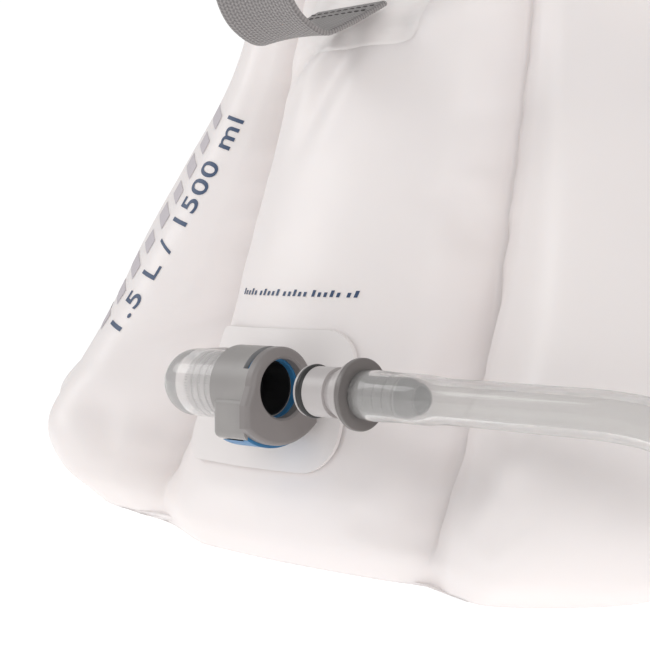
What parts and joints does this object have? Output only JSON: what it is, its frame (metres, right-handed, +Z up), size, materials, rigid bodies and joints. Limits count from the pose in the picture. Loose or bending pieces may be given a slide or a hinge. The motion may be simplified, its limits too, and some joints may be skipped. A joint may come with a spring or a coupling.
{
  "type": "hydration bladder",
  "caption": "Filled film drinking bladder on its flattened base, with front quick connector, drawn-out hose, bite valve, slide closure and straps.",
  "frame": {"origin": "on the floor plane, at the middle of the flattened base face that the filled bag stands on", "axes": "+X to the right seen from the front, +Y from the connector side to the back film, +Z up"},
  "size_m": [0.4347, 0.1243, 0.2605],
  "materials": {
    "film": "satin",
    "clear_moulding": "gloss",
    "tail_clear": "gloss",
    "socket_grey": "satin",
    "plug_grey": "satin",
    "latch_blue": "satin",
    "spring_steel": "satin",
    "valve_black": "matte",
    "seal_black": "satin",
    "hose_clear": "gloss",
    "tie_grey": "matte",
    "silicone": "matte",
    "rail_white": "satin",
    "clip_grey": "satin",
    "webbing": "woven"
  },
  "bodies": {
    "bag": {"front_film": "film", "rear_film": "film", "baffle_left": "film", "baffle_right": "film", "port_elbow": "clear_moulding", "socket_body": "socket_grey", "latch_spring": "spring_steel", "socket_tail": "tail_clear", "spring_retainer": "valve_black", "valve_spring": "spring_steel", "mouth_rail_front": "rail_white", "mouth_rail_rear": "rail_white", "hand_strap": "webbing", "strap_patch_low": "film", "strap_patch_high": "film", "hang_loop": "webbing", "hang_patch": "film"},
    "latch": {"latch_plate": "latch_blue"},
    "poppet": {"valve_poppet": "valve_black", "valve_seal": "seal_black"},
    "hose": {"plug_body": "plug_grey", "plug_o_ring": "seal_black", "hose_tube": "hose_clear", "hose_tail": "hose_clear", "hose_coil": "hose_clear", "hose_tie": "tie_grey", "bite_valve_body": "plug_grey", "bite_sheath": "silicone"},
    "shutoff": {"shutoff_ring": "latch_blue"},
    "clip": {"slide_clip": "clip_grey"}
  },
  "joints": [
    {"name": "plug_slide", "type": "slide", "parent": "bag", "child": "hose", "axis": [1, 0, 0], "range_m": [-0.022, 0.02]},
    {"name": "latch_press", "type": "slide", "parent": "bag", "child": "latch", "axis": [0, 0, 1], "range_m": [0, 0.0011], "stiffness_N_per_m": 900, "springref_m": -0.002, "deforming": ["latch_spring"]},
    {"name": "valve_open", "type": "slide", "parent": "bag", "child": "poppet", "axis": [-1, 0, 0], "range_m": [0, 0.0025], "stiffness_N_per_m": 400, "springref_m": -0.003, "deforming": ["valve_spring"]},
    {"name": "shutoff_twist", "type": "hinge", "parent": "hose", "child": "shutoff", "pos_m": [0.28, -0.0415, 0.0092], "axis": [1, 0, 0], "range_deg": [-90, 0]},
    {"name": "clip_slide", "type": "slide", "parent": "bag", "child": "clip", "axis": [1, 0, 0], "range_m": [0, 0.16]}
  ]
}
